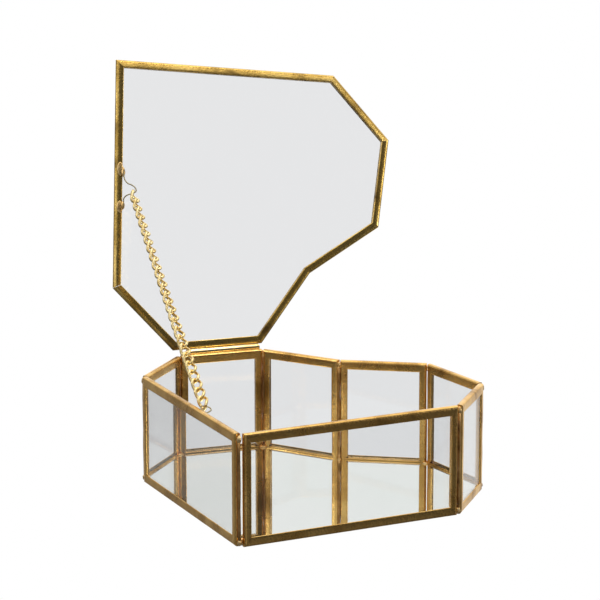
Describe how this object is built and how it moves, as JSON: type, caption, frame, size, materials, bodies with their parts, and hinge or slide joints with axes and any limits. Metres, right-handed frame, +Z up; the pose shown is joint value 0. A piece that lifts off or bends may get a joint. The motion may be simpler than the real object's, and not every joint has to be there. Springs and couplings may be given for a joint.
{
  "type": "jewelry box",
  "caption": "Heart-shaped glass jewelry box: brass-framed panes, a mirror floor, and a clear hinged lid that a fine curb chain holds open.",
  "frame": {"origin": "underside of the mirror floor, midway between the point of the heart and the line through the tops of its lobes, on the heart's centre line", "axes": "+Z up out of the box, +Y from the point of the heart to its lobes, +X to the right when the point faces the viewer; the lid is hinged on the far left shoulder and is open at rest"},
  "size_m": [0.1918, 0.2152, 0.1838],
  "materials": {
    "frame_brass": "bright, with hand-worked patina",
    "lid_brass": "bright, with hand-worked patina",
    "hinge_tube": "polished",
    "chain": "polished",
    "wire": "satin",
    "solder": "satin, uneven",
    "wall_glass": "clear",
    "lid_glass": "clear",
    "mirror": "polished"
  },
  "bodies": {
    "box": {"base_mirror": "mirror", "glass_front_right": "wall_glass", "glass_side_right": "wall_glass", "glass_shoulder_right": "wall_glass", "glass_lobe_right": "wall_glass", "glass_lobe_left": "wall_glass", "glass_hinge_side": "wall_glass", "glass_side_left": "wall_glass", "glass_front_left": "wall_glass", "frame_front_right": "frame_brass", "frame_side_right": "frame_brass", "frame_shoulder_right": "frame_brass", "frame_lobe_right": "frame_brass", "frame_lobe_left": "frame_brass", "frame_hinge_side": "frame_brass", "frame_side_left": "frame_brass", "frame_front_left": "frame_brass", "corner_solder": "solder", "floor_solder": "solder", "box_knuckles": "hinge_tube", "hinge_pin": "hinge_tube", "hinge_seam_box": "solder", "box_chain_eye": "wire", "eye_solder": "solder"},
    "lid": {"lid_glass": "lid_glass", "lid_frame": "lid_brass", "lid_knuckle": "hinge_tube", "hinge_seam_lid": "solder", "lid_chain_loop": "wire", "loop_solder": "solder"},
    "link_01": {"chain_link_01": "chain"},
    "link_02": {"chain_link_02": "chain"},
    "link_03": {"chain_link_03": "chain"},
    "link_04": {"chain_link_04": "chain"},
    "link_05": {"chain_link_05": "chain"},
    "link_06": {"chain_link_06": "chain"},
    "link_07": {"chain_link_07": "chain"},
    "link_08": {"chain_link_08": "chain"},
    "link_09": {"chain_link_09": "chain"},
    "link_10": {"chain_link_10": "chain"},
    "link_11": {"chain_link_11": "chain"},
    "link_12": {"chain_link_12": "chain"},
    "link_13": {"chain_link_13": "chain"},
    "link_14": {"chain_link_14": "chain"},
    "link_15": {"chain_link_15": "chain"},
    "link_16": {"chain_link_16": "chain"},
    "link_17": {"chain_link_17": "chain"},
    "link_18": {"chain_link_18": "chain"},
    "link_19": {"chain_link_19": "chain"},
    "link_20": {"chain_link_20": "chain"},
    "link_21": {"chain_link_21": "chain"},
    "link_22": {"chain_link_22": "chain"},
    "link_23": {"chain_link_23": "chain"},
    "link_24": {"chain_link_24": "chain"},
    "link_25": {"chain_link_25": "chain"}
  },
  "joints": [
    {"name": "lid_hinge", "type": "hinge", "parent": "box", "child": "lid", "pos_m": [-0.05883, 0.06039, 0.0502], "axis": [-0.784, -0.6207, 0], "range_deg": [-108, 0]},
    {"name": "chain_joint_01", "type": "hinge", "parent": "lid", "child": "link_01", "pos_m": [-0.09973, 0.05474, 0.12375], "axis": [-0.2922, 0.1859, 0.9381], "range_deg": [0, 42.9]},
    {"name": "chain_joint_04", "type": "hinge", "parent": "link_01", "child": "link_04", "pos_m": [-0.09575, 0.05007, 0.12667], "axis": [0.784, 0.6207, 0], "range_deg": [0, 35.1]},
    {"name": "chain_joint_11", "type": "hinge", "parent": "link_04", "child": "link_11", "pos_m": [-0.07494, 0.02454, 0.06706], "axis": [-0.784, -0.6207, 0], "range_deg": [0, 21.1]},
    {"name": "chain_joint_18", "type": "hinge", "parent": "link_11", "child": "link_18", "pos_m": [-0.06656, 0.0147, 0.08548], "axis": [-0.784, -0.6207, 0], "range_deg": [0, 132.7]},
    {"name": "chain_joint_24", "type": "hinge", "parent": "link_18", "child": "link_24", "pos_m": [-0.04972, -0.00592, 0.06841], "axis": [-0.784, -0.6207, 0], "range_deg": [0, 42]},
    {"name": "chain_joint_02", "type": "hinge", "parent": "link_04", "child": "link_02", "pos_m": [-0.09621, 0.05045, 0.38491], "axis": [-0.784, -0.6207, 0], "range_deg": [0, 0.9]},
    {"name": "chain_joint_03", "type": "hinge", "parent": "link_04", "child": "link_03", "pos_m": [-0.09282, 0.04626, 0.11257], "axis": [0.784, 0.6207, 0], "range_deg": [0, 23.8]},
    {"name": "chain_joint_05", "type": "hinge", "parent": "link_04", "child": "link_05", "pos_m": [-0.10638, 0.06361, 0.07782], "axis": [-0.784, -0.6207, 0], "range_deg": [0, 1.4]},
    {"name": "chain_joint_06", "type": "hinge", "parent": "link_04", "child": "link_06", "pos_m": [-0.08505, 0.03677, 0.11141], "axis": [0.784, 0.6207, 0], "range_deg": [0, 25.5]},
    {"name": "chain_joint_07", "type": "hinge", "parent": "link_04", "child": "link_07", "pos_m": [-0.08398, 0.03553, 0.11415], "axis": [0.784, 0.6207, 0], "range_deg": [0, 21.9]},
    {"name": "chain_joint_08", "type": "hinge", "parent": "link_11", "child": "link_08", "pos_m": [-0.07503, 0.02433, 0.08655], "axis": [0.784, 0.6207, 0], "range_deg": [0, 26.4]},
    {"name": "chain_joint_09", "type": "hinge", "parent": "link_11", "child": "link_09", "pos_m": [-0.07453, 0.02381, 0.09022], "axis": [0.784, 0.6207, 0], "range_deg": [0, 32.4]},
    {"name": "chain_joint_10", "type": "hinge", "parent": "link_11", "child": "link_10", "pos_m": [-0.07365, 0.02281, 0.09125], "axis": [0.784, 0.6207, 0], "range_deg": [0, 31.9]},
    {"name": "chain_joint_12", "type": "hinge", "parent": "link_11", "child": "link_12", "pos_m": [-0.0708, 0.01942, 0.08802], "axis": [-0.784, -0.6207, 0], "range_deg": [0, 31.6]},
    {"name": "chain_joint_13", "type": "hinge", "parent": "link_11", "child": "link_13", "pos_m": [-0.06904, 0.0173, 0.0871], "axis": [-0.784, -0.6207, 0], "range_deg": [0, 68.9]},
    {"name": "chain_joint_14", "type": "hinge", "parent": "link_11", "child": "link_14", "pos_m": [-0.06737, 0.01529, 0.08656], "axis": [-0.784, -0.6207, 0], "range_deg": [0, 101.8]},
    {"name": "chain_joint_15", "type": "hinge", "parent": "link_18", "child": "link_15", "pos_m": [-0.08065, 0.03217, 0.08897], "axis": [0.784, 0.6207, 0], "range_deg": [0, 8.6]},
    {"name": "chain_joint_16", "type": "hinge", "parent": "link_18", "child": "link_16", "pos_m": [-0.05283, -0.00286, 0.07066], "axis": [-0.784, -0.6207, 0], "range_deg": [0, 24.1]},
    {"name": "chain_joint_17", "type": "hinge", "parent": "link_18", "child": "link_17", "pos_m": [-0.05382, -0.0015, 0.07143], "axis": [-0.784, -0.6207, 0], "range_deg": [0, 32]},
    {"name": "chain_joint_19", "type": "hinge", "parent": "link_18", "child": "link_19", "pos_m": [-0.051, -0.00484, 0.06869], "axis": [-0.784, -0.6207, 0], "range_deg": [0, 32.1]},
    {"name": "chain_joint_20", "type": "hinge", "parent": "link_18", "child": "link_20", "pos_m": [-0.05024, -0.0057, 0.0683], "axis": [-0.784, -0.6207, 0], "range_deg": [0, 41.4]},
    {"name": "chain_joint_21", "type": "hinge", "parent": "link_18", "child": "link_21", "pos_m": [-0.04997, -0.00594, 0.06825], "axis": [-0.784, -0.6207, 0], "range_deg": [0, 43]},
    {"name": "chain_joint_22", "type": "hinge", "parent": "link_24", "child": "link_22", "pos_m": [-0.03673, -0.02255, 0.05646], "axis": [0.784, 0.6207, 0], "range_deg": [0, 2.2]},
    {"name": "chain_joint_23", "type": "hinge", "parent": "link_24", "child": "link_23", "pos_m": [-0.03672, -0.02245, 0.05523], "axis": [0.784, 0.6207, 0], "range_deg": [0, 1.9]},
    {"name": "chain_joint_25", "type": "hinge", "parent": "link_24", "child": "link_25", "pos_m": [-0.03363, -0.02615, 0.05265], "axis": [-0.784, -0.6207, 0], "range_deg": [0, 2.4]}
  ],
  "couplings": [
    {"joint": "chain_joint_01", "follows": "lid_hinge", "ratio": -0.39454},
    {"joint": "chain_joint_04", "follows": "lid_hinge", "ratio": -0.3221},
    {"joint": "chain_joint_11", "follows": "lid_hinge", "ratio": -0.19226},
    {"joint": "chain_joint_18", "follows": "lid_hinge", "ratio": -1.2259},
    {"joint": "chain_joint_24", "follows": "lid_hinge", "ratio": -0.38632},
    {"joint": "chain_joint_02", "follows": "lid_hinge", "ratio": -0.005752},
    {"joint": "chain_joint_03", "follows": "lid_hinge", "ratio": -0.21747},
    {"joint": "chain_joint_05", "follows": "lid_hinge", "ratio": -0.010546},
    {"joint": "chain_joint_06", "follows": "lid_hinge", "ratio": -0.23297},
    {"joint": "chain_joint_07", "follows": "lid_hinge", "ratio": -0.19954},
    {"joint": "chain_joint_08", "follows": "lid_hinge", "ratio": -0.24144},
    {"joint": "chain_joint_09", "follows": "lid_hinge", "ratio": -0.29715},
    {"joint": "chain_joint_10", "follows": "lid_hinge", "ratio": -0.29281},
    {"joint": "chain_joint_12", "follows": "lid_hinge", "ratio": -0.29027},
    {"joint": "chain_joint_13", "follows": "lid_hinge", "ratio": -0.63542},
    {"joint": "chain_joint_14", "follows": "lid_hinge", "ratio": -0.93974},
    {"joint": "chain_joint_15", "follows": "lid_hinge", "ratio": -0.07646},
    {"joint": "chain_joint_16", "follows": "lid_hinge", "ratio": -0.22019},
    {"joint": "chain_joint_17", "follows": "lid_hinge", "ratio": -0.29356},
    {"joint": "chain_joint_19", "follows": "lid_hinge", "ratio": -0.2943},
    {"joint": "chain_joint_20", "follows": "lid_hinge", "ratio": -0.38076},
    {"joint": "chain_joint_21", "follows": "lid_hinge", "ratio": -0.39558},
    {"joint": "chain_joint_22", "follows": "lid_hinge", "ratio": -0.017139},
    {"joint": "chain_joint_23", "follows": "lid_hinge", "ratio": -0.014972},
    {"joint": "chain_joint_25", "follows": "lid_hinge", "ratio": -0.01916}
  ]
}
